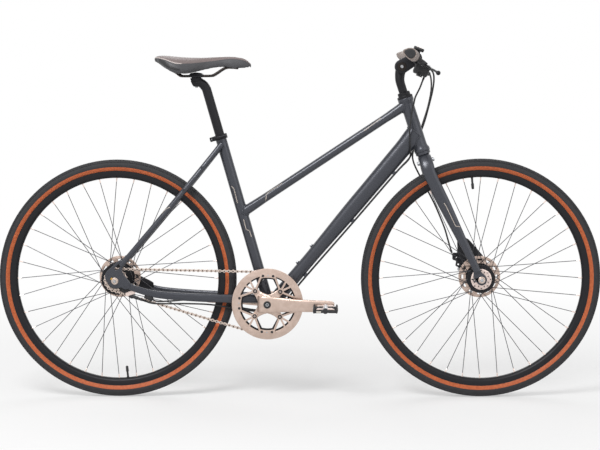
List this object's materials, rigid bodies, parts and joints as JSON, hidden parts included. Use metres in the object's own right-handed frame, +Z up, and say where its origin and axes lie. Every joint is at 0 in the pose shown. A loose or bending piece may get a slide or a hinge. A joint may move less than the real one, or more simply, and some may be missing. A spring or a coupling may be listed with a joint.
{
  "type": "step-through bicycle",
  "caption": "Step-through city bicycle with sloping twin-wall tubes, hub gear, single guarded chainring, cable roller brakes, adjustable stem and flat handlebar.",
  "frame": {"origin": "on the ground, halfway between the two wheel axles, in the plane of the wheels", "axes": "+X points forward, +Y to the rider's left and +Z up; the chain is on the right, at negative Y"},
  "size_m": [1.765, 0.6, 1.0267],
  "materials": {
    "frame_paint": "satin anthracite paint",
    "black_alloy": "satin black anodised or painted alloy",
    "dark_plastic": "black moulded plastic",
    "champagne": "satin champagne anodised aluminium",
    "silver": "zinc plated steel",
    "pale_alloy": "turned pale aluminium",
    "nickel": "nickel plated steel",
    "tyre": "black rubber with an orange sidewall stripe",
    "inner_rubber": "black butyl rubber",
    "grip_rubber": "taupe moulded rubber",
    "cable_casing": "black cable casing",
    "saddle_skin": "brownish grey matt cover"
  },
  "bodies": {
    "frame": {"head_tube": "frame_paint", "top_tube": "frame_paint", "down_tube": "frame_paint", "seat_tube": "frame_paint", "chainstay_right": "frame_paint", "chainstay_left": "frame_paint", "seatstay_right": "frame_paint", "seatstay_left": "frame_paint", "seat_clamp_collar": "black_alloy", "headset_upper": "black_alloy", "bottom_bracket_cartridge": "silver", "rear_axle": "silver", "rear_axle_nut_right": "silver", "cassette_joint": "dark_plastic", "shift_cable": "cable_casing", "rear_brake_cable": "cable_casing", "rear_brake_unit": "black_alloy", "chain": "nickel"},
    "seat_clamp_lever": {"seat_clamp_lever": "black_alloy"},
    "seatpost": {"seatpost": "black_alloy"},
    "saddle": {"saddle_clamp": "black_alloy", "saddle_rails": "silver", "saddle_shell": "dark_plastic", "saddle_cover": "saddle_skin"},
    "steering": {"fork": "frame_paint", "stem_quill": "black_alloy", "front_axle": "silver", "front_axle_nut_right": "silver", "front_brake_unit": "black_alloy"},
    "front_brake_arm": {"front_brake_arm": "black_alloy"},
    "rear_brake_arm": {"rear_brake_arm": "black_alloy"},
    "stem": {"stem_arm": "black_alloy", "handlebar": "black_alloy", "grip_right": "grip_rubber", "grip_left": "grip_rubber", "lever_bracket_right": "black_alloy", "lever_bracket_left": "black_alloy", "shifter_body": "dark_plastic", "front_brake_cable": "cable_casing"},
    "brake_lever_right": {"brake_lever_right": "black_alloy"},
    "brake_lever_left": {"brake_lever_left": "black_alloy"},
    "shift_paddle": {"shift_paddle": "dark_plastic"},
    "front_wheel": {"front_tyre": "tyre", "front_inner_tube": "inner_rubber", "front_rim": "black_alloy", "front_hub": "black_alloy", "front_brake_disc": "pale_alloy"},
    "rear_wheel": {"rear_tyre": "tyre", "rear_inner_tube": "inner_rubber", "rear_rim": "black_alloy", "rear_hub": "black_alloy", "rear_brake_disc": "pale_alloy"},
    "rear_sprocket": {"rear_sprocket": "silver"},
    "crank": {"crank_arm_right": "champagne", "crank_arm_left": "champagne", "chainring": "black_alloy", "chainring_guard": "champagne"},
    "pedal_right": {"pedal_right": "dark_plastic"},
    "pedal_left": {"pedal_left": "dark_plastic"},
    "cassette_pulley": {"cassette_pulley": "dark_plastic"}
  },
  "joints": [
    {"name": "steering", "type": "hinge", "parent": "frame", "child": "steering", "pos_m": [0.4878, 0, 0.33548], "axis": [-0.309, 0, 0.9511], "range_deg": [-70, 70], "deforming": ["shift_cable", "rear_brake_cable"]},
    {"name": "stem_angle", "type": "hinge", "parent": "steering", "child": "stem", "pos_m": [0.30175, 0, 0.96794], "axis": [0, 1, 0], "range_deg": [-35, 25], "deforming": ["front_brake_cable"]},
    {"name": "front_wheel_spin", "type": "hinge", "parent": "steering", "child": "front_wheel", "pos_m": [0.5325, 0, 0.35], "axis": [0, 1, 0], "continuous": true},
    {"name": "rear_wheel_spin", "type": "hinge", "parent": "frame", "child": "rear_wheel", "pos_m": [-0.5325, 0, 0.35], "axis": [0, 1, 0], "continuous": true},
    {"name": "crank_spin", "type": "hinge", "parent": "frame", "child": "crank", "pos_m": [-0.09, 0, 0.28], "axis": [0, 1, 0], "continuous": true, "deforming": ["chain"]},
    {"name": "rear_sprocket_spin", "type": "hinge", "parent": "frame", "child": "rear_sprocket", "pos_m": [-0.5325, 0, 0.35], "axis": [0, 1, 0], "continuous": true},
    {"name": "pedal_right_spin", "type": "hinge", "parent": "crank", "child": "pedal_right", "pos_m": [0.07994, -0.1266, 0.27555], "axis": [0, 1, 0], "continuous": true},
    {"name": "pedal_left_spin", "type": "hinge", "parent": "crank", "child": "pedal_left", "pos_m": [-0.25994, 0.1266, 0.28445], "axis": [0, 1, 0], "continuous": true},
    {"name": "brake_lever_left_pull", "type": "hinge", "parent": "stem", "child": "brake_lever_left", "pos_m": [0.3575, 0.153, 0.9757], "axis": [0.6157, 0, 0.788], "range_deg": [0, 22], "stiffness_Nm_per_rad": 2, "springref_deg": -5.73},
    {"name": "brake_lever_right_pull", "type": "hinge", "parent": "stem", "child": "brake_lever_right", "pos_m": [0.3575, -0.153, 0.9757], "axis": [-0.6157, 0, -0.788], "range_deg": [0, 22], "stiffness_Nm_per_rad": 2, "springref_deg": -5.73},
    {"name": "front_brake_arm_pull", "type": "hinge", "parent": "steering", "child": "front_brake_arm", "pos_m": [0.5325, 0.0482, 0.35], "axis": [0, 1, 0], "range_deg": [0, 9]},
    {"name": "rear_brake_arm_pull", "type": "hinge", "parent": "frame", "child": "rear_brake_arm", "pos_m": [-0.5325, 0.0657, 0.35], "axis": [0, -1, 0], "range_deg": [0, 9]},
    {"name": "shift_paddle_push", "type": "hinge", "parent": "stem", "child": "shift_paddle", "pos_m": [0.3484, -0.098, 0.9427], "axis": [0.3746, 0, 0.9272], "range_deg": [0, 25], "stiffness_Nm_per_rad": 0.5, "springref_deg": -5.73},
    {"name": "cassette_pulley_turn", "type": "hinge", "parent": "frame", "child": "cassette_pulley", "pos_m": [-0.5325, -0.053, 0.35], "axis": [0, 1, 0], "range_deg": [0, 15]},
    {"name": "seatpost_height", "type": "slide", "parent": "frame", "child": "seatpost", "axis": [-0.2723, 0, 0.9622], "range_m": [-0.05, 0.06]},
    {"name": "saddle_tilt", "type": "hinge", "parent": "seatpost", "child": "saddle", "pos_m": [-0.29616, 0, 0.93876], "axis": [0, 1, 0], "range_deg": [-8, 8]},
    {"name": "seat_clamp_lever_open", "type": "hinge", "parent": "frame", "child": "seat_clamp_lever", "pos_m": [-0.2465, -0.0147, 0.7595], "axis": [0.2723, 0, -0.9622], "range_deg": [0, 135]}
  ],
  "couplings": [
    {"joint": "rear_sprocket_spin", "follows": "crank_spin", "ratio": 2.875},
    {"joint": "front_brake_arm_pull", "follows": "brake_lever_left_pull", "ratio": 0.4},
    {"joint": "rear_brake_arm_pull", "follows": "brake_lever_right_pull", "ratio": 0.4},
    {"joint": "cassette_pulley_turn", "follows": "shift_paddle_push", "ratio": 0.6}
  ]
}
